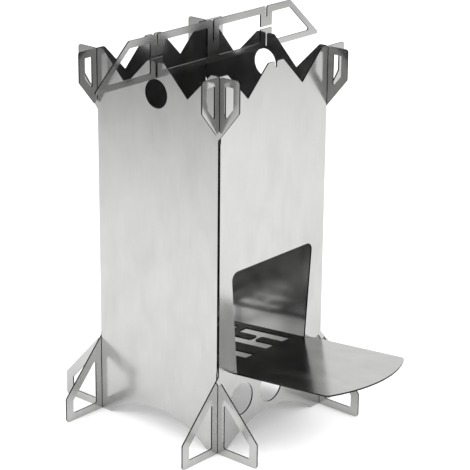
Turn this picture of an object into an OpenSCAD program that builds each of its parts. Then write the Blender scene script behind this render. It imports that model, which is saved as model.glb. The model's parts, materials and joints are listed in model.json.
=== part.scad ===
// Flat-pack twig stove: four laser-cut sheets that half-lap at the corners, a slotted
// floor plate that is also the feed tray, and one pot bar that drops into the side walls.
// Z is up and the stove stands on z = 0. The door side faces -Y.

/* [Sheet] */
// Thickness of the stainless sheet that every piece is cut from
sheet = 1; // [0.8:0.1:1.5]
// Clearance on each side of a wall in its half-lap slot
slot_fit = 0.35; // [0.2:0.05:0.5]
// Clearance on each side of the pot bar in the side walls' notches
bar_fit = 0.8; // [0.3:0.1:1]
// Clearance on each side of a wall in the slots of the pot bar and the floor plate
cross_fit = 0.15; // [0.1:0.05:0.3]
// Gap that stays between a piece and the edge it rests on
seat_gap = 0.2; // [0.1:0.05:0.4]
// Length of the slanted lead-in at the mouth of a slot
lead_in = 0.8; // [0.4:0.1:1.2]

/* [Shaft] */
// Distance between the middle planes of opposite walls
shaft_w = 100; // [94:1:120]
// Height of the four walls
wall_h = 240; // [220:1:270]
// Gap between a wall's plain side edge and the wall that it meets
edge_gap = 0.2; // [0.1:0.1:0.8]

/* [Crown] */
// Width of the flat on top of the middle peak
peak_w = 13.6; // [11:0.2:16]
// Width of the flat on the wall side of each corner line
corner_flat = 6.4; // [4:0.1:8]
// Depth of the two valleys between the peak and the corners
valley_depth = 18.3; // [12:0.1:22]
// Rounding of the peak's shoulders and of the corners' flats
crown_r = 2; // [1:0.25:3]
// Rounding of the valleys
valley_r = 0.8; // [0.4:0.1:2]
// Depth of the shallow notch in the peaks of the door wall and the back wall
short_notch = 3.7; // [2:0.1:6]
// Depth of the notch in the side walls that takes the pot bar
bar_notch = 8.9; // [6:0.1:9]
// Diameter of the round hole under each side wall's notch
side_hole_d = 18; // [14:0.5:20]
// Height of the centre of that hole
side_hole_z = 220.6; // [218:0.2:221]

/* [Ears] */
// Reach of an ear beyond the corner line
ear_reach = 15.5; // [13:0.5:20]
// Height of an ear along the corner line
ear_h = 37.9; // [34:0.1:42]
// Height of an ear's upright outer edge
ear_side_h = 19.2; // [15:0.1:24]
// Width of the rim round an ear's cut-out
ear_rim = 4.6; // [3.6:0.1:5.2]
// Rounding of an ear's outer corners
ear_r = 1.8; // [1:0.2:2.4]
// Rounding of the corners of an ear's cut-out
ear_cut_r = 0.8; // [0.4:0.1:1.4]

/* [Legs] */
// Reach of a leg beyond the corner line
leg_reach = 32.3; // [28:0.5:38]
// Height of a leg along the corner line
leg_h = 50.7; // [46:0.5:56]
// Height of a leg's upright outer edge
leg_side_h = 16.2; // [13:0.5:20]
// Width of the rim round a leg's window
leg_rim = 6; // [5:0.25:7.5]
// Height of the rim under a leg's window
foot_rim = 5; // [4:0.25:7]
// Rounding of a leg's outer corners
leg_r = 2.4; // [1.2:0.2:3.2]
// Rounding of the corners of a leg's window
leg_window_r = 1.2; // [0.6:0.1:2]
// Length by which the free prong beside a half-lap slot is cut back
prong_cut = 2; // [1:0.25:3]
// Width of the arch under each wall
arch_w = 83; // [74:1:86]
// Height of the arch under each wall
arch_h = 15; // [10:0.5:16]

/* [Door] */
// Height of the door's sill
sill_z = 49.7; // [46:0.5:56]
// Height of the door's top edge
door_top_z = 115.6; // [105:0.5:130]
// Width of the door at its sill
door_sill_w = 65.8; // [60:0.5:68]
// Width of the door at its top edge
door_top_w = 77; // [73:0.5:80]
// Rounding of the door's upper corners
door_r = 5; // [3:0.5:8]
// Rounding of the door's lower corners
sill_r = 1; // [0.5:0.1:1.5]
// Number of air holes under the door
air_holes = 3; // [1:1:3]
// Diameter of an air hole
air_hole_d = 21.4; // [16:0.2:23]
// Height of the centres of the air holes
air_hole_z = 29.6; // [29:0.2:32]
// Distance between the centres of the air holes
air_hole_pitch = 28.2; // [27:0.2:30]

/* [Floor tray] */
// Slope of the plate, down towards the fire
tray_tilt = 5.4; // [2:0.1:7]
// Width of the tongue outside the door
tongue_w = 76.2; // [72:0.2:80]
// Length of the tongue at its middle, from the door wall's middle plane
tongue_l = 87; // [70:0.5:100]
// Height of the arc that ends the tongue
tongue_arc = 11.5; // [5:0.1:14]
// Rounding of the two corners at the ends of that arc
tongue_r = 4; // [1:0.5:5]
// Width of the plate inside the shaft
grate_w = 72; // [68:0.2:72]
// Gap between the plate's inner end and the back wall
grate_end_gap = 1.6; // [1:0.2:4]
// Rounding of the plate's two inner corners
grate_end_r = 3; // [1:0.5:5]
// Rounding of the plate's corners beside the door wall
plate_r = 0.6; // [0.2:0.1:1]
// Bare margin at both ends of the grate's slots
grate_margin = 8.6; // [6:0.1:10]
// Width of one slot in the grate
grate_slot_w = 8.2; // [6:0.1:8.6]
// Distance between the middles of the two slots of a pair
slot_pair_pitch = 15.8; // [14.4:0.1:16]
// Width of the web between the two columns of pairs
middle_web = 11.6; // [9:0.2:12.6]
// Width of the web between the two rows of slots
row_web = 6; // [5:0.2:10]
// Width of the short cut that joins the two slots of a pair
cross_cut = 3.4; // [2:0.2:5]
// Rounding of the web's ends at that cut
web_r = 2; // [1:0.25:2.8]
// Depth that the plate's side notches go past the door's edges
notch_fit = 0.2; // [0.1:0.05:0.5]

/* [Pot bar] */
// Height of the pot bar
bar_h = 26.8; // [25:0.2:32]
// Length of the pot bar's top edge
bar_top_l = 147; // [138:1:160]
// Length of the pot bar's bottom edge
bar_bottom_l = 203; // [185:1:220]
// Height of the blunt tip at each end of the bottom edge
bar_tip_h = 1.6; // [1:0.2:2.4]
// Rounding of the tips' corners
bar_tip_r = 0.6; // [0.2:0.1:0.8]
// Rounding of the two ends of the top edge
bar_top_r = 2; // [1:0.5:4]
// Height of the bar's top rail
top_rail = 4.4; // [3.4:0.1:5]
// Height of the bar's bottom rail
bottom_rail = 3.8; // [3.4:0.1:5]
// Width of the bar's sloping end rails, measured level
end_rail = 5.4; // [4.4:0.1:7]
// Width of the struts where the bar crosses a wall
strut_w = 10.8; // [8:0.2:13]
// Width of the middle strut
middle_strut_w = 10.4; // [8:0.2:13]
// Rounding of the windows' corners
window_r = 1; // [0.6:0.2:3]
// Depth of the top slots above the walls
top_slot = 6.8; // [5:0.2:9]
// Depth of the notches in the bar's underside that straddle the walls
foot_notch = 1.1; // [0.8:0.1:2]
// Height of the level slit through each outer strut
slit_h = 1.6; // [1:0.1:2.2]
// Height of that slit above the bar's underside
slit_z = 12.4; // [11:0.1:13.5]

/* [Hidden] */

// Straight steps in each rounded corner
corner_steps = 6;
// Straight steps in each half of the tongue's arc
arc_steps = 8;
// Smoothness of the true circles
$fn = 96;
// How far a cutting shape runs past the sheet that it cuts
past = 1;

half_w = shaft_w / 2;
slot_w = sheet + 2 * slot_fit;
bar_slot_w = sheet + 2 * bar_fit;
cross_slot_w = sheet + 2 * cross_fit;
edge_inset = sheet / 2 + edge_gap;
wall_edge = half_w - edge_inset;
steel = [0.80, 0.80, 0.79];

// Ear and leg outlines meet the wall's side edge on their own sloping lines
ear_out = half_w + ear_reach;
ear_slope = (ear_h - ear_side_h) / ear_reach;
ear_foot_z = wall_h - ear_h - edge_inset * ear_slope;
ear_lap_z = wall_h - ear_h / 2;
leg_out = half_w + leg_reach;
leg_slope = (leg_h - leg_side_h) / leg_reach;
leg_top_z = leg_h + edge_inset * leg_slope;
leg_lap_z = leg_h / 2;

// The crown's valley lies midway between the peak and the corner flat
crown_out = half_w - corner_flat;
valley_x = (peak_w / 2 + crown_out) / 2;

// The floor plate rests on the sill at its tilt
tray_z = sill_z + seat_gap + sheet / 2 * tan(tray_tilt);
neck_half = door_sill_w / 2 - notch_fit;
neck_l = cross_slot_w / cos(tray_tilt) + sheet * tan(tray_tilt);
grate_l = (shaft_w - sheet / 2 - grate_end_gap) / cos(tray_tilt);
slot_l = (grate_l - 2 * grate_margin - row_web) / 2;
tongue_arc_r = (pow(tongue_w / 2, 2) + pow(tongue_arc, 2)) / (2 * tongue_arc);
tongue_turn = asin(tongue_w / 2 / tongue_arc_r);

// The pot bar rests in the side walls' notches
bar_z = wall_h - bar_notch + seat_gap - foot_notch;
bar_lean = (bar_bottom_l - bar_top_l) / 2 / (bar_h - bar_tip_h);

// The origin lies under the middle of the whole stove, tray and legs included
front_reach = half_w + tongue_l * cos(tray_tilt) + sheet * sin(tray_tilt);
back_reach = leg_out;
shaft_y = (front_reach - back_reach) / 2;

// Points of an outline whose corners [x, y, r] are rounded by r, limited by its sides
function rounded(corners) = [
    for (i = [0 : len(corners) - 1])
        each round_corner(corners[(i + len(corners) - 1) % len(corners)], corners[i],
                          corners[(i + 1) % len(corners)])
];

function flat(p) = [p[0], p[1]];

function round_corner(before, here, after) =
    let (
        to_before = flat(before) - flat(here),
        to_after = flat(after) - flat(here),
        u = to_before / norm(to_before),
        v = to_after / norm(to_after),
        half_angle = acos(max(-1, min(1, u * v))) / 2,
        run = min(here[2] / tan(half_angle), norm(to_before) / 2, norm(to_after) / 2),
        r = run * tan(half_angle),
        centre = flat(here) + (u + v) / norm(u + v) * r / sin(half_angle),
        first = flat(here) + u * run - centre,
        last = flat(here) + v * run - centre,
        turn = atan2(first[0] * last[1] - first[1] * last[0], first * last)
    )
    here[2] == 0 ? [flat(here)] : [
        for (k = [0 : corner_steps])
            let (a = turn * k / corner_steps)
            centre + [first[0] * cos(a) - first[1] * sin(a), first[0] * sin(a) + first[1] * cos(a)]
    ];

// Both halves of an outline whose right half runs from the bottom to the top
function mirrored(right) = concat(right, [
    for (i = [len(right) - 1 : -1 : 0]) [-right[i][0], right[i][1], right[i][2]]
]);

// A slot along Y that is open at its upper end, with a lead-in at the mouth
module slot_from_top(mouth_z, depth, width) {
    bottom_z = mouth_z - depth;
    translate([-width / 2, bottom_z])
        square([width, depth + past]);
    polygon([
        [-width / 2, mouth_z - lead_in],
        [width / 2, mouth_z - lead_in],
        [width / 2 + lead_in + past, mouth_z + past],
        [-width / 2 - lead_in - past, mouth_z + past]
    ]);
}

// Stands a flat outline up in the XZ plane with the sheet's thickness
module upright() {
    rotate([90, 0, 0])
        linear_extrude(height = sheet, center = true)
            children();
}

// The outline that all four walls share: crown, ears, plain edges and legs
module wall_outline() {
    polygon(rounded(mirrored([
        [leg_out, 0, leg_r],
        [leg_out, leg_side_h, leg_r],
        [wall_edge, leg_top_z, leg_r],
        [wall_edge, ear_foot_z, ear_r],
        [ear_out, wall_h - ear_side_h, ear_r],
        [ear_out, wall_h, ear_r],
        [crown_out, wall_h, crown_r],
        [valley_x, wall_h - valley_depth, valley_r],
        [peak_w / 2, wall_h, crown_r]
    ])));
}

// Cut-out in an ear, with its sloping side parallel to the ear's
module ear_cut() {
    rise = ear_rim * sqrt(1 + ear_slope * ear_slope);
    inner_x = half_w + ear_rim;
    outer_x = ear_out - ear_rim;
    foot = wall_h - ear_h + rise;
    polygon(rounded([
        [inner_x, wall_h - ear_rim, ear_cut_r],
        [outer_x, wall_h - ear_rim, ear_cut_r],
        [outer_x, foot + (outer_x - half_w) * ear_slope, ear_cut_r],
        [inner_x, foot + (inner_x - half_w) * ear_slope, ear_cut_r]
    ]));
}

// Window in a leg, with its sloping side parallel to the leg's
module leg_window() {
    rise = leg_rim * sqrt(1 + leg_slope * leg_slope);
    inner_x = half_w + leg_rim - sheet / 2;
    outer_x = leg_out - leg_rim;
    top = leg_h - rise;
    polygon(rounded([
        [inner_x, foot_rim, leg_window_r],
        [outer_x, foot_rim, leg_window_r],
        [outer_x, top - (outer_x - half_w) * leg_slope, leg_window_r],
        [inner_x, top - (inner_x - half_w) * leg_slope, leg_window_r]
    ]));
}

// Round arch between the legs
module arch() {
    arch_r = (pow(arch_w / 2, 2) + pow(arch_h, 2)) / (2 * arch_h);
    translate([0, arch_h - arch_r])
        circle(r = arch_r);
}

// Half-lap slot of a leg, open upwards, with a slanted tip on the prong beyond it
module leg_slot() {
    tip_x = slot_w / 2 + prong_cut;
    tip_z = leg_h - tip_x * leg_slope;
    translate([-slot_w / 2, leg_lap_z - seat_gap / 2])
        square([slot_w, leg_top_z + leg_r - leg_lap_z]);
    polygon([
        [0, tip_z - prong_cut],
        [slot_w / 2, tip_z - prong_cut],
        [tip_x + past, tip_z + past],
        [tip_x + past, leg_h + past],
        [0, leg_h + past]
    ]);
}

// Half-lap slots of a side wall, open upwards
module slots_upwards() {
    for (side = [0, 1])
        mirror([side, 0])
            translate([half_w, 0]) {
                slot_from_top(wall_h, ear_h / 2 + seat_gap / 2, slot_w);
                leg_slot();
            }
}

// Half-lap slot of an ear, open downwards, with a slanted tip on the prong beyond it
module ear_slot() {
    tip_x = slot_w / 2 + prong_cut;
    tip_z = wall_h - ear_h + tip_x * ear_slope;
    mouth_z = ear_foot_z - ear_r;
    translate([-slot_w / 2, mouth_z])
        square([slot_w, ear_lap_z + seat_gap / 2 - mouth_z]);
    polygon([
        [0, tip_z + prong_cut],
        [slot_w / 2, tip_z + prong_cut],
        [tip_x + past, tip_z - past],
        [tip_x + past, mouth_z],
        [0, mouth_z]
    ]);
}

// Half-lap slots of the door wall and the back wall, open downwards
module slots_downwards() {
    for (side = [0, 1])
        mirror([side, 0])
            translate([half_w, 0]) {
                ear_slot();
                translate([-slot_w / 2, -past])
                    square([slot_w, leg_lap_z + seat_gap / 2 + past]);
            }
}

// A wall with everything that all four share
module wall_blank() {
    difference() {
        wall_outline();
        arch();
        for (side = [0, 1])
            mirror([side, 0]) {
                ear_cut();
                leg_window();
            }
        children();
    }
}

// Side wall: laps open upwards, deep notch for the pot bar, round hole under it
module side_wall() {
    upright()
        wall_blank() {
            slots_upwards();
            slot_from_top(wall_h, bar_notch, bar_slot_w);
            translate([0, side_hole_z])
                circle(d = side_hole_d);
        }
}

// Row of air holes under the door's level
module air_hole_row() {
    for (i = [0 : air_holes - 1])
        translate([(i - (air_holes - 1) / 2) * air_hole_pitch, air_hole_z])
            circle(d = air_hole_d);
}

// Door opening, narrower at its sill so that the floor plate wedges in it
module door_opening() {
    polygon(rounded([
        [-door_sill_w / 2, sill_z, sill_r],
        [door_sill_w / 2, sill_z, sill_r],
        [door_top_w / 2, door_top_z, door_r],
        [-door_top_w / 2, door_top_z, door_r]
    ]));
}

module left_side_wall() {
    color(steel)
        translate([-half_w, shaft_y, 0])
            rotate([0, 0, 90])
                side_wall();
}

module right_side_wall() {
    color(steel)
        translate([half_w, shaft_y, 0])
            rotate([0, 0, 90])
                side_wall();
}

module door_wall() {
    color(steel)
        translate([0, shaft_y - half_w, 0])
            upright()
                wall_blank() {
                    slots_downwards();
                    slot_from_top(wall_h, short_notch, slot_w);
                    air_hole_row();
                    door_opening();
                }
}

module back_wall() {
    color(steel)
        translate([0, shaft_y + half_w, 0])
            upright()
                wall_blank() {
                    slots_downwards();
                    slot_from_top(wall_h, short_notch, slot_w);
                    air_hole_row();
                }
}

// One H-shaped opening: two slots and the short cut that joins them
module slot_pair() {
    pair_w = slot_pair_pitch + grate_slot_w;
    web_w = slot_pair_pitch - grate_slot_w;
    web_l = (slot_l - cross_cut) / 2;
    difference() {
        translate([-pair_w / 2, 0])
            square([pair_w, slot_l]);
        for (end = [0, 1])
            translate([0, slot_l / 2])
                mirror([0, end])
                    polygon(rounded([
                        [-web_w / 2, cross_cut / 2, web_r],
                        [-web_w / 2, cross_cut / 2 + web_l + past, 0],
                        [web_w / 2, cross_cut / 2 + web_l + past, 0],
                        [web_w / 2, cross_cut / 2, web_r]
                    ]));
    }
}

// Right half of the arc that ends the tongue, from its middle outwards
function tongue_end() = [
    for (i = [0 : arc_steps - 1])
        let (a = tongue_turn * (i + 0.5) / (arc_steps + 0.5))
        [tongue_arc_r * sin(a), tongue_arc_r * (1 - cos(a)) - tongue_l, 0]
];

// Floor plate and feed tray in one sheet, drawn flat with y = 0 at the door wall
module floor_outline() {
    column_x = middle_web / 2 + grate_slot_w / 2 + slot_pair_pitch / 2;
    difference() {
        polygon(rounded(mirrored(concat(tongue_end(), [
            [tongue_w / 2, tongue_arc - tongue_l, tongue_r],
            [tongue_w / 2, -neck_l / 2, plate_r],
            [neck_half, -neck_l / 2, 0],
            [neck_half, neck_l / 2, 0],
            [grate_w / 2, neck_l / 2, plate_r],
            [grate_w / 2, grate_l, grate_end_r]
        ]))));
        for (side = [-1, 1])
            for (row = [0, 1])
                translate([side * column_x, grate_margin + row * (slot_l + row_web)])
                    slot_pair();
    }
}

module floor_tray() {
    color(steel)
        translate([0, shaft_y - half_w, tray_z])
            rotate([-tray_tilt, 0, 0])
                linear_extrude(height = sheet)
                    floor_outline();
}

// Window of the bar between its middle strut and an outer strut
module inner_window() {
    polygon(rounded([
        [middle_strut_w / 2, bottom_rail, window_r],
        [half_w - strut_w / 2, bottom_rail, window_r],
        [half_w - strut_w / 2, bar_h - top_rail, window_r],
        [middle_strut_w / 2, bar_h - top_rail, window_r]
    ]));
}

// Window of the bar beyond an outer strut, parallel to the sloping end
module outer_window() {
    foot_x = bar_bottom_l / 2 - (bottom_rail - bar_tip_h) * bar_lean - end_rail;
    head_x = bar_top_l / 2 + top_rail * bar_lean - end_rail;
    polygon(rounded([
        [half_w + strut_w / 2, bottom_rail, window_r],
        [foot_x, bottom_rail, window_r],
        [head_x, bar_h - top_rail, window_r],
        [half_w + strut_w / 2, bar_h - top_rail, window_r]
    ]));
}

// Cuts where the bar crosses a wall: top slot, level slit and notch underneath
module crossing_cuts() {
    slot_from_top(bar_h, top_slot, cross_slot_w);
    translate([-strut_w / 2 - past, slit_z])
        square([strut_w + 2 * past, slit_h]);
    translate([-cross_slot_w / 2, -past])
        square([cross_slot_w, foot_notch + past]);
}

module pot_bar() {
    color(steel)
        translate([0, shaft_y, bar_z])
            upright()
                difference() {
                    polygon(rounded(mirrored([
                        [bar_bottom_l / 2, 0, bar_tip_r],
                        [bar_bottom_l / 2, bar_tip_h, bar_tip_r],
                        [bar_top_l / 2, bar_h, bar_top_r]
                    ])));
                    for (side = [0, 1])
                        mirror([side, 0]) {
                            inner_window();
                            outer_window();
                        }
                    for (side = [-1, 1])
                        translate([side * half_w, 0])
                            crossing_cuts();
                    slot_from_top(bar_h, bar_h / 2, cross_slot_w);
                }
}

left_side_wall();
right_side_wall();
door_wall();
back_wall();
floor_tray();
pot_bar();
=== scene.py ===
# %% [markdown]
# This lesson dresses a flat-pack twig stove. Six pieces are laser-cut from 1 mm stainless
# sheet: four walls that half-lap at the corners, a slotted floor plate that is also the feed
# tray, and a pot bar. Their true shapes, sizes and joints come from a packed engineering model.
# We load that model first and never move it. Everything we add is in metres in its frame.

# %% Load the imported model
import json
import math
import bpy
from mathutils import Matrix, Vector


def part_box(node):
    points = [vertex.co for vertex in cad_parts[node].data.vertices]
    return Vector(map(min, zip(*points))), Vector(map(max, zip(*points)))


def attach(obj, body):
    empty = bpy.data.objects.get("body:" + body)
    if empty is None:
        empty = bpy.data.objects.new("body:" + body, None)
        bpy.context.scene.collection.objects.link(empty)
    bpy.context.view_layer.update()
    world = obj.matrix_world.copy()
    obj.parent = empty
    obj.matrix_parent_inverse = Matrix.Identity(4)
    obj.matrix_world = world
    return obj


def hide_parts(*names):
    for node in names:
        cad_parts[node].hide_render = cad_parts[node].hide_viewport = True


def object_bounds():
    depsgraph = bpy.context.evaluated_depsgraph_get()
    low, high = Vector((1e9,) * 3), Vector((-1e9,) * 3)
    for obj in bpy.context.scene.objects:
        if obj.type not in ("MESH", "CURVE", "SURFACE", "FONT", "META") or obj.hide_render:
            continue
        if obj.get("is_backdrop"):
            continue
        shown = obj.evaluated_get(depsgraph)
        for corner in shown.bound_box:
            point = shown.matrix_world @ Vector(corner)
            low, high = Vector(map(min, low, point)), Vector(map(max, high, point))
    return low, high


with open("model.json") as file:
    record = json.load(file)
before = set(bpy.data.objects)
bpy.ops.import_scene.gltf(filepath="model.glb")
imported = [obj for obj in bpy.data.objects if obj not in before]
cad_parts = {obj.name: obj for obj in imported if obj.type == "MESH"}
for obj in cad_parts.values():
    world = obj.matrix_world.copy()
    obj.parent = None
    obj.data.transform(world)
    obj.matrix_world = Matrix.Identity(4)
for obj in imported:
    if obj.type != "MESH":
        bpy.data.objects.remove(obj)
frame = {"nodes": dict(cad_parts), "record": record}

mm = 0.001

cad_low, cad_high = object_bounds()
print("box of the packed model, mm:", [round(side / mm, 1) for side in cad_high - cad_low])

# %% [markdown]
# The camera stands where the photographer stood: in front of the corner between the door wall
# and the left wall, a little above the stove. It could be placed by eye, but a photograph of a
# square shaft tells more: its upright edges and level edges meet at vanishing points, and these
# give the direction, the distance and the lens. The small shift stands for the cropping.

# %% Camera at the photograph's view
photo_side_px = 470
focal_length_px = 1909.3
lens_axis_px = (211.8, 231.8)
sensor_mm = 36
azimuth = math.radians(-48.34)
elevation = math.radians(19.77)
roll = math.radians(0.3)
distance = 1.2054
aim_height = 0.120
nearest_seen = 0.05
farthest_seen = 20

left_low, left_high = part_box("left_side_wall")
shaft_y = (left_low.y + left_high.y) / 2
aim = Vector((0, shaft_y, aim_height))
back = Vector((math.sin(azimuth) * math.cos(elevation),
               -math.cos(azimuth) * math.cos(elevation),
               math.sin(elevation)))
level_right = Vector((math.cos(azimuth), math.sin(azimuth), 0))
level_up = back.cross(level_right)
right = level_right * math.cos(roll) + level_up * math.sin(roll)
up = level_up * math.cos(roll) - level_right * math.sin(roll)
camera_place = Matrix.Translation(aim + back * distance)
camera_turn = Matrix((right, up, back)).transposed().to_4x4()

bpy.ops.object.camera_add()
camera = bpy.context.object
camera.name = "photo_camera"
camera.matrix_world = camera_place @ camera_turn
camera.data.sensor_width = sensor_mm
camera.data.lens = focal_length_px / photo_side_px * sensor_mm
camera.data.shift_x = (photo_side_px / 2 - lens_axis_px[0]) / photo_side_px
camera.data.shift_y = (lens_axis_px[1] - photo_side_px / 2) / photo_side_px
camera.data.clip_start = nearest_seen
camera.data.clip_end = farthest_seen
bpy.context.scene.camera = camera
print("lens, mm:", round(camera.data.lens, 1), "camera at", [round(x, 3) for x in camera.location])

# %% [markdown]
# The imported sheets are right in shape, but they have no flat pattern for the grain and their rims
# are razor sharp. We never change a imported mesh, so we copy each one and work on the copy. It
# comes as loose triangles. Merging its points and dissolving the lines across its flat faces
# leaves one big face on each side and one face for each stretch of the cut.

# %% Take a clean working copy of a packed sheet
merge_distance = 0.001 * mm
flat_angle = math.radians(0.05)


def deselect_all():
    bpy.ops.object.select_all(action="DESELECT")


def clean_copy(node_name):
    source = frame["nodes"][node_name]
    sheet = bpy.data.objects.new(node_name + "_sheet", source.data.copy())
    bpy.context.scene.collection.objects.link(sheet)
    deselect_all()
    sheet.select_set(True)
    bpy.context.view_layer.objects.active = sheet
    bpy.ops.object.mode_set(mode="EDIT")
    bpy.ops.mesh.select_all(action="SELECT")
    bpy.ops.mesh.remove_doubles(threshold=merge_distance)
    bpy.ops.mesh.dissolve_limited(angle_limit=flat_angle)
    bpy.ops.object.mode_set(mode="OBJECT")
    print(sheet.name, "has", len(sheet.data.polygons), "faces for", len(source.data.polygons), "triangles")
    return sheet


# %% [markdown]
# On the real stove the plain side edge of each wall touches the wall that it meets, so no light
# comes through the corners of the shaft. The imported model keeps 0.2 mm of air there, so that its
# solids never touch by accident. A bright line through a dark corner would catch the eye, so we
# push the points of these edges outwards, within their own sheet, until the air is closed. The
# last points of the curves that run into an edge lie in the same narrow strip, and go with it.
# This is done before the rims are broken, while each edge is still a plain straight line.

# %% Close the corners of the shaft
packed_air = 0.2 * mm
kept_air = 0.01 * mm
edge_slack = 0.003 * mm
inner_face = -left_high.x
packed_edge = inner_face - packed_air
closed_edge = inner_face - kept_air


def close_corners(sheet, across):
    middle = Vector((0, shaft_y, 0)).dot(across)
    moved = 0
    for vertex in sheet.data.vertices:
        side = vertex.co.dot(across) - middle
        if packed_edge - edge_slack < abs(side) < closed_edge:
            vertex.co += across * math.copysign(closed_edge - abs(side), side)
            moved += 1
    print(sheet.name, moved, "edge points moved to", round(closed_edge / mm, 2), "mm from the middle")


# %% [markdown]
# Each sheet came off a laser with a faint burr that is rubbed away before packing, so its rims
# are not razor sharp. Half a tenth of a millimetre is broken off all round. That tiny chamfer
# gives every outline its soft dark line. We could fake it with a bevel shader, but a real one
# also shows in the mesh. The bevel takes only the edges where two surfaces really meet.

# %% Break the sharp rims
rim_break = 0.05 * mm
rim_angle = math.radians(40)
smooth_angle = math.radians(30)


def break_rims(sheet):
    rims = sheet.modifiers.new("broken_rims", "BEVEL")
    rims.width = rim_break
    rims.segments = 1
    rims.limit_method = "ANGLE"
    rims.angle_limit = rim_angle
    rims.use_clamp_overlap = False
    bpy.ops.object.modifier_apply(modifier=rims.name)
    bpy.ops.object.shade_smooth_by_angle(angle=smooth_angle)
    print(sheet.name, "has", len(sheet.data.polygons), "faces with its rims broken")


# %% [markdown]
# The steel has a direction. It was rolled and brushed in one long coil, so every blank has fine
# parallel grain: upright on the walls, along the tray, and along the pot bar. A pattern in the
# object's own X, Y and Z would cut across the tilted tray. We give each sheet a flat map instead,
# like the drawing that the laser followed: U runs across the grain and V along it, in metres.
# The cut edges use the same map. As it holds no depth, a streak runs straight through the
# sheet there, just as a laser leaves it.

# %% Lay the cutting pattern on each sheet
def lay_pattern(sheet, across, grain):
    pattern = sheet.data.uv_layers.new(name="cutting_pattern")
    for loop in sheet.data.loops:
        place = sheet.data.vertices[loop.vertex_index].co
        pattern.data[loop.index].uv = (place.dot(across), place.dot(grain))
    print(sheet.name, "has", len(sheet.data.loops), "corners on its flat pattern")


# %% [markdown]
# Each layout below names three directions of one sheet: its normal, the way across its grain and
# the way along it. The tray leans, so its two slanted directions come from its tilt. Every copy
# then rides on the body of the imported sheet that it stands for, so it moves with it.

# %% Make the six sheets
tray_tilt = math.radians(5.4)
upright = Vector((0, 0, 1))
sideways = Vector((1, 0, 0))
depthways = Vector((0, 1, 0))
tray_along = Vector((0, math.cos(tray_tilt), -math.sin(tray_tilt)))
tray_normal = Vector((0, math.sin(tray_tilt), math.cos(tray_tilt)))
layouts = {
    "left_side_wall": (sideways, depthways, upright),
    "right_side_wall": (sideways, depthways, upright),
    "door_wall": (depthways, sideways, upright),
    "back_wall": (depthways, sideways, upright),
    "floor_tray": (tray_normal, sideways, tray_along),
    "pot_bar": (depthways, upright, sideways),
}
body_of_node = {
    node_name: body_name
    for body_name, node_names in frame["record"]["behaviour"]["bodies"].items()
    for node_name in node_names
}
sheets = {}
for node_name, (normal, across, grain) in layouts.items():
    sheet = clean_copy(node_name)
    if node_name.endswith("wall"):
        close_corners(sheet, across)
    break_rims(sheet)
    lay_pattern(sheet, across, grain)
    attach(sheet, body_of_node[node_name])
    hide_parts(node_name)
    sheets[node_name] = sheet
    print(sheet.name, "rides on", body_of_node[node_name])

# %% [markdown]
# The finishes are made of nodes. Colours are written as they look on a screen, in sRGB hex, and
# one function turns them into the linear light that the renderer works in, with the numbers of
# the sRGB standard. One more function adds a node, sets it and links it, so that each material
# below reads as a short list.

# %% Helpers for the finishes
def linear(hex_colour):
    values = [int(hex_colour[i:i + 2], 16) / 255 for i in (1, 3, 5)]
    return [v / 12.92 if v <= 0.04045 else ((v + 0.055) / 1.055) ** 2.4 for v in values] + [1]


def add_node(tree, kind, inputs=None, **settings):
    node = tree.nodes.new(kind)
    for name, value in settings.items():
        setattr(node, name, value)
    for name, value in (inputs or {}).items():
        if isinstance(value, bpy.types.NodeSocket):
            tree.links.new(value, node.inputs[name])
        else:
            node.inputs[name].default_value = value
    return node


def new_material(name):
    material = bpy.data.materials.new(name)
    material.use_nodes = True
    material.node_tree.nodes.clear()
    return material, material.node_tree


print("sRGB #808080 is", round(linear("#808080")[0], 3), "in linear light")

# %% [markdown]
# The faces are cold-rolled stainless with a fine brushed finish. It is smooth enough to
# mirror a leg that stands beside it, and rough enough to blur that image a few millimetres away.
# Three things make it: a pale neutral metal, a roughness near 0.2 with soft cloudy changes
# from handling, and grain. Real grain is about 0.05 mm wide, finer than a pixel here, so it is
# drawn about 0.4 mm wide and 30 mm long, as coarse as it needs to be to show. Noise keeps mostly
# to the middle of its range, so each mix below spreads only that middle over its tones.

# %% Brushed stainless steel
grain_width = 0.4 * mm
grain_length = 30 * mm
grain_depth = 0.005 * mm
grain_detail = 3
grain_fineness = 0.6
cloud_width = 16 * mm
cloud_length = 2 * cloud_width
cloud_detail = 4
cloud_fineness = 0.55
cloud_swirl = 0.6
cloud_share = 0.65
tone_middle = (0.3, 0.7)
gloss_middle = (0.35, 0.65)
darker_steel = "#BFBFBE"
lighter_steel = "#D0D0CF"
smoothest_steel = 0.16
roughest_steel = 0.22

steel, tree = new_material("brushed_stainless_steel")
pattern = add_node(tree, "ShaderNodeUVMap", uv_map="cutting_pattern")
grain_place = add_node(tree, "ShaderNodeMapping", {
    "Vector": pattern.outputs["UV"],
    "Scale": (1 / grain_width, 1 / grain_length, 1),
})
grain_noise = add_node(tree, "ShaderNodeTexNoise", {
    "Vector": grain_place.outputs["Vector"],
    "Scale": 1,
    "Detail": grain_detail,
    "Roughness": grain_fineness,
})
cloud_place = add_node(tree, "ShaderNodeMapping", {
    "Vector": pattern.outputs["UV"],
    "Scale": (1 / cloud_width, 1 / cloud_length, 1),
})
cloud_noise = add_node(tree, "ShaderNodeTexNoise", {
    "Vector": cloud_place.outputs["Vector"],
    "Scale": 1,
    "Detail": cloud_detail,
    "Roughness": cloud_fineness,
    "Distortion": cloud_swirl,
})
grain_and_cloud = add_node(tree, "ShaderNodeMix", {
    "Factor": cloud_share,
    "A": grain_noise.outputs["Fac"],
    "B": cloud_noise.outputs["Fac"],
}, data_type="FLOAT")
streaks = add_node(tree, "ShaderNodeMapRange", {
    "Value": grain_and_cloud.outputs["Result"],
    "From Min": tone_middle[0],
    "From Max": tone_middle[1],
    "To Min": 0,
    "To Max": 1,
})
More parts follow.
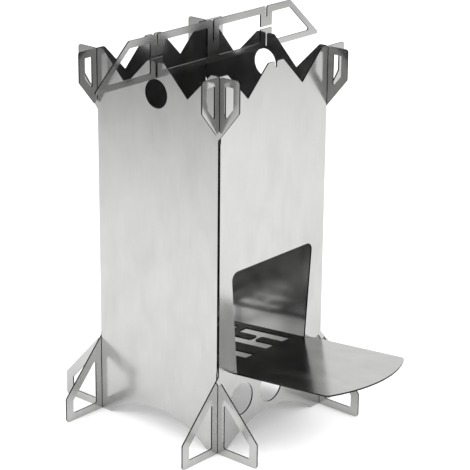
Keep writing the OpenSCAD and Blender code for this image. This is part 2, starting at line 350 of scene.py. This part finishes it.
tone = add_node(tree, "ShaderNodeMix", {
    "Factor": streaks.outputs["Result"],
    "A": linear(darker_steel),
    "B": linear(lighter_steel),
}, data_type="RGBA")
gloss = add_node(tree, "ShaderNodeMapRange", {
    "Value": cloud_noise.outputs["Fac"],
    "From Min": gloss_middle[0],
    "From Max": gloss_middle[1],
    "To Min": smoothest_steel,
    "To Max": roughest_steel,
})
grooves = add_node(tree, "ShaderNodeBump", {
    "Height": grain_noise.outputs["Fac"],
    "Strength": 1,
    "Distance": grain_depth,
})
metal = add_node(tree, "ShaderNodeBsdfPrincipled", {
    "Base Color": tone.outputs["Result"],
    "Metallic": 1,
    "Roughness": gloss.outputs["Result"],
    "Normal": grooves.outputs["Normal"],
})
add_node(tree, "ShaderNodeOutputMaterial", {"Surface": metal.outputs["BSDF"]})
print(steel.name, "has", len(tree.nodes), "nodes")

# %% [markdown]
# The cut edges look nothing like the faces. The laser melts its way through and leaves a dark
# skin with fine ribs across the sheet, about five to the millimetre. This is why every outline
# of the stove reads as a thin dark line. Only an edge that faces up is lighter, because we look
# along it and any surface mirrors more at such a low angle. A dark metal that is still fairly
# smooth does both, and its ribs come from the same flat pattern.

# %% Laser-cut edge
rib_width = 0.2 * mm
rib_depth = 0.006 * mm
rib_detail = 2
darker_skin = "#1E1E1E"
lighter_skin = "#343433"
skin_roughness = 0.25

cut_edge, tree = new_material("laser_cut_edge")
pattern = add_node(tree, "ShaderNodeUVMap", uv_map="cutting_pattern")
rib_place = add_node(tree, "ShaderNodeMapping", {
    "Vector": pattern.outputs["UV"],
    "Scale": (1 / rib_width, 1 / rib_width, 1),
})
rib_noise = add_node(tree, "ShaderNodeTexNoise", {
    "Vector": rib_place.outputs["Vector"],
    "Scale": 1,
    "Detail": rib_detail,
})
skin_tone = add_node(tree, "ShaderNodeMix", {
    "Factor": rib_noise.outputs["Fac"],
    "A": linear(darker_skin),
    "B": linear(lighter_skin),
}, data_type="RGBA")
ribs = add_node(tree, "ShaderNodeBump", {
    "Height": rib_noise.outputs["Fac"],
    "Strength": 1,
    "Distance": rib_depth,
})
dark_metal = add_node(tree, "ShaderNodeBsdfPrincipled", {
    "Base Color": skin_tone.outputs["Result"],
    "Metallic": 1,
    "Roughness": skin_roughness,
    "Normal": ribs.outputs["Normal"],
})
add_node(tree, "ShaderNodeOutputMaterial", {"Surface": dark_metal.outputs["BSDF"]})
print(cut_edge.name, "has", len(tree.nodes), "nodes")

# %% [markdown]
# Which face gets which finish follows from the way it points. A face that points straight out of
# its sheet is rolled surface, and one that points along the sheet was made by the laser. The
# broken rims lie between the two. The laser's heat reached them, so they count as cut.

# %% Hand out the two finishes
face_limit = 0.9
steel_slot = 0
cut_slot = 1
for node_name, (normal, across, grain) in layouts.items():
    mesh = sheets[node_name].data
    mesh.materials.clear()
    mesh.materials.append(steel)
    mesh.materials.append(cut_edge)
    for face in mesh.polygons:
        is_cut = abs(face.normal.dot(normal)) < face_limit
        face.material_index = cut_slot if is_cut else steel_slot
        face.use_smooth = is_cut
    print(node_name, sum(face.material_index == cut_slot for face in mesh.polygons), "cut faces")

# %% [markdown]
# The floor is a broad white table. Metal has hardly any look of its own, so what we see in the
# walls is this floor and the room. In the photograph the light pools round the stove and behind
# it, and falls away towards the camera. That is what turns the ears dark at the near corner.
# A lamp could make the pool, but it would also show on the white floor. So the table's paint
# does it: it is plain white to the eye and takes the stove's shadow, and only its mirror image in
# the steel carries the pool. A little light of its own keeps the shadow pale, as in the photograph.

# %% White table with a pool of light
table_side = 8.0
table_white = "#F0F0F0"
unlit_paint = "#000000"
plain_light = 1.0
pool_centre = (0.5, 0.25)
pool_radius = 1.4
pool_core = 0.7
pool_floor = 0.24
pool_peak = 0.75
own_light = 0.14

bpy.ops.mesh.primitive_plane_add(size=table_side, location=(0, 0, 0))
table = bpy.context.object
table.name = "white_table"
table_top, tree = new_material("matt_white_table")
place = add_node(tree, "ShaderNodeTexCoord")
pool_place = add_node(tree, "ShaderNodeMapping", {
    "Vector": place.outputs["Object"],
    "Location": (-pool_centre[0] / pool_radius, -pool_centre[1] / pool_radius, 0),
    "Scale": (1 / pool_radius, 1 / pool_radius, 1),
})
pool = add_node(tree, "ShaderNodeTexGradient", {
    "Vector": pool_place.outputs["Vector"],
}, gradient_type="SPHERICAL")
pool_light = add_node(tree, "ShaderNodeMapRange", {
    "Value": pool.outputs["Fac"],
    "From Min": 0.0,
    "From Max": 1 - pool_core / pool_radius,
    "To Min": pool_floor,
    "To Max": pool_peak,
}, interpolation_type="SMOOTHSTEP")
ray = add_node(tree, "ShaderNodeLightPath")
seen = add_node(tree, "ShaderNodeMix", {
    "Factor": ray.outputs["Is Glossy Ray"],
    "A": plain_light,
    "B": pool_light.outputs["Result"],
}, data_type="FLOAT")
paint_colour = add_node(tree, "ShaderNodeMix", {
    "Factor": seen.outputs["Result"],
    "A": linear(unlit_paint),
    "B": linear(table_white),
}, data_type="RGBA")
paint = add_node(tree, "ShaderNodeBsdfDiffuse", {"Color": paint_colour.outputs["Result"]})
glow_strength = add_node(tree, "ShaderNodeMath", {
    0: seen.outputs["Result"],
    1: own_light,
}, operation="MULTIPLY")
glow = add_node(tree, "ShaderNodeEmission", {"Strength": glow_strength.outputs["Value"]})
both = add_node(tree, "ShaderNodeAddShader", {0: paint.outputs["BSDF"], 1: glow.outputs["Emission"]})
add_node(tree, "ShaderNodeOutputMaterial", {"Surface": both.outputs["Shader"]})
table.data.materials.append(table_top)
table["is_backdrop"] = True
print("in the steel the table runs from", pool_peak, "at the stove down to", pool_floor)

# %% [markdown]
# The studio is an even white room. Seen directly it is white, like the photograph's background.
# Its mirror image is what shades the steel: bright behind the stove, which gives the tray its
# light tongue, and dimmer on the camera's side, where the photographer's room was dark. A range
# over the direction does this, without a picture of a room: the direction of a ray, multiplied
# with the way the camera looks, runs from -1 in front of the stove to 1 behind it.

# %% World: the studio around the table
room_light = 1.3
mirrored_front = 0.35
mirrored_back = 0.94

world = bpy.data.worlds.new("studio")
bpy.context.scene.world = world
world.use_nodes = True
tree = world.node_tree
tree.nodes.clear()
away_from_camera = Vector((-math.sin(azimuth), math.cos(azimuth), 0))
direction = add_node(tree, "ShaderNodeTexCoord")
towards_back = add_node(tree, "ShaderNodeVectorMath", {
    0: direction.outputs["Generated"],
    1: away_from_camera,
}, operation="DOT_PRODUCT")
studio_light = add_node(tree, "ShaderNodeMapRange", {
    "Value": towards_back.outputs["Value"],
    "From Min": -1.0,
    "From Max": 1.0,
    "To Min": mirrored_front,
    "To Max": mirrored_back,
})
ray = add_node(tree, "ShaderNodeLightPath")
strength = add_node(tree, "ShaderNodeMix", {
    "Factor": ray.outputs["Is Glossy Ray"],
    "A": room_light,
    "B": studio_light.outputs["Result"],
}, data_type="FLOAT")
sky = add_node(tree, "ShaderNodeBackground", {
    "Color": linear("#FFFFFF"),
    "Strength": strength.outputs["Result"],
})
add_node(tree, "ShaderNodeOutputWorld", {"Surface": sky.outputs["Background"]})
print("the mirrored room runs from", mirrored_front, "in front to", mirrored_back, "behind the stove")

# %% [markdown]
# Two small softboxes, one in front and one on the left, lift the faces that look at the camera
# and give the floor's shadow its soft direction. They are kept weak, because steel shows a lamp
# as a hard spot long before it gets brighter. Each one is square and turned to face the stove.

# %% Two softboxes
softbox_side = 0.5
softboxes = {
    "front_softbox": {"place": (0.1, -0.9, 0.7), "watts": 6},
    "left_softbox": {"place": (-0.9, 0.35, 0.6), "watts": 4},
}
for name, plan in softboxes.items():
    bpy.ops.object.light_add(type="AREA", location=plan["place"])
    softbox = bpy.context.object
    softbox.name = name
    softbox.data.shape = "SQUARE"
    softbox.data.size = softbox_side
    softbox.data.energy = plan["watts"]
    softbox.rotation_euler = (aim - softbox.location).to_track_quat("-Z", "Y").to_euler()
    print(name, "at", plan["place"], "gives", plan["watts"], "W")

# %% [markdown]
# Last, the view transform is set to Standard, which shows each colour as it was written and
# leaves the white floor white. The box round all the finished pieces is compared with the box of
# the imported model, because finishing must not change the size of anything.

# %% Finish
bpy.context.scene.view_settings.view_transform = "Standard"
low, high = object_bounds()
growth = (high - low) - (cad_high - cad_low)
print("grown by the finish, mm:", [round(side / mm, 2) for side in growth])
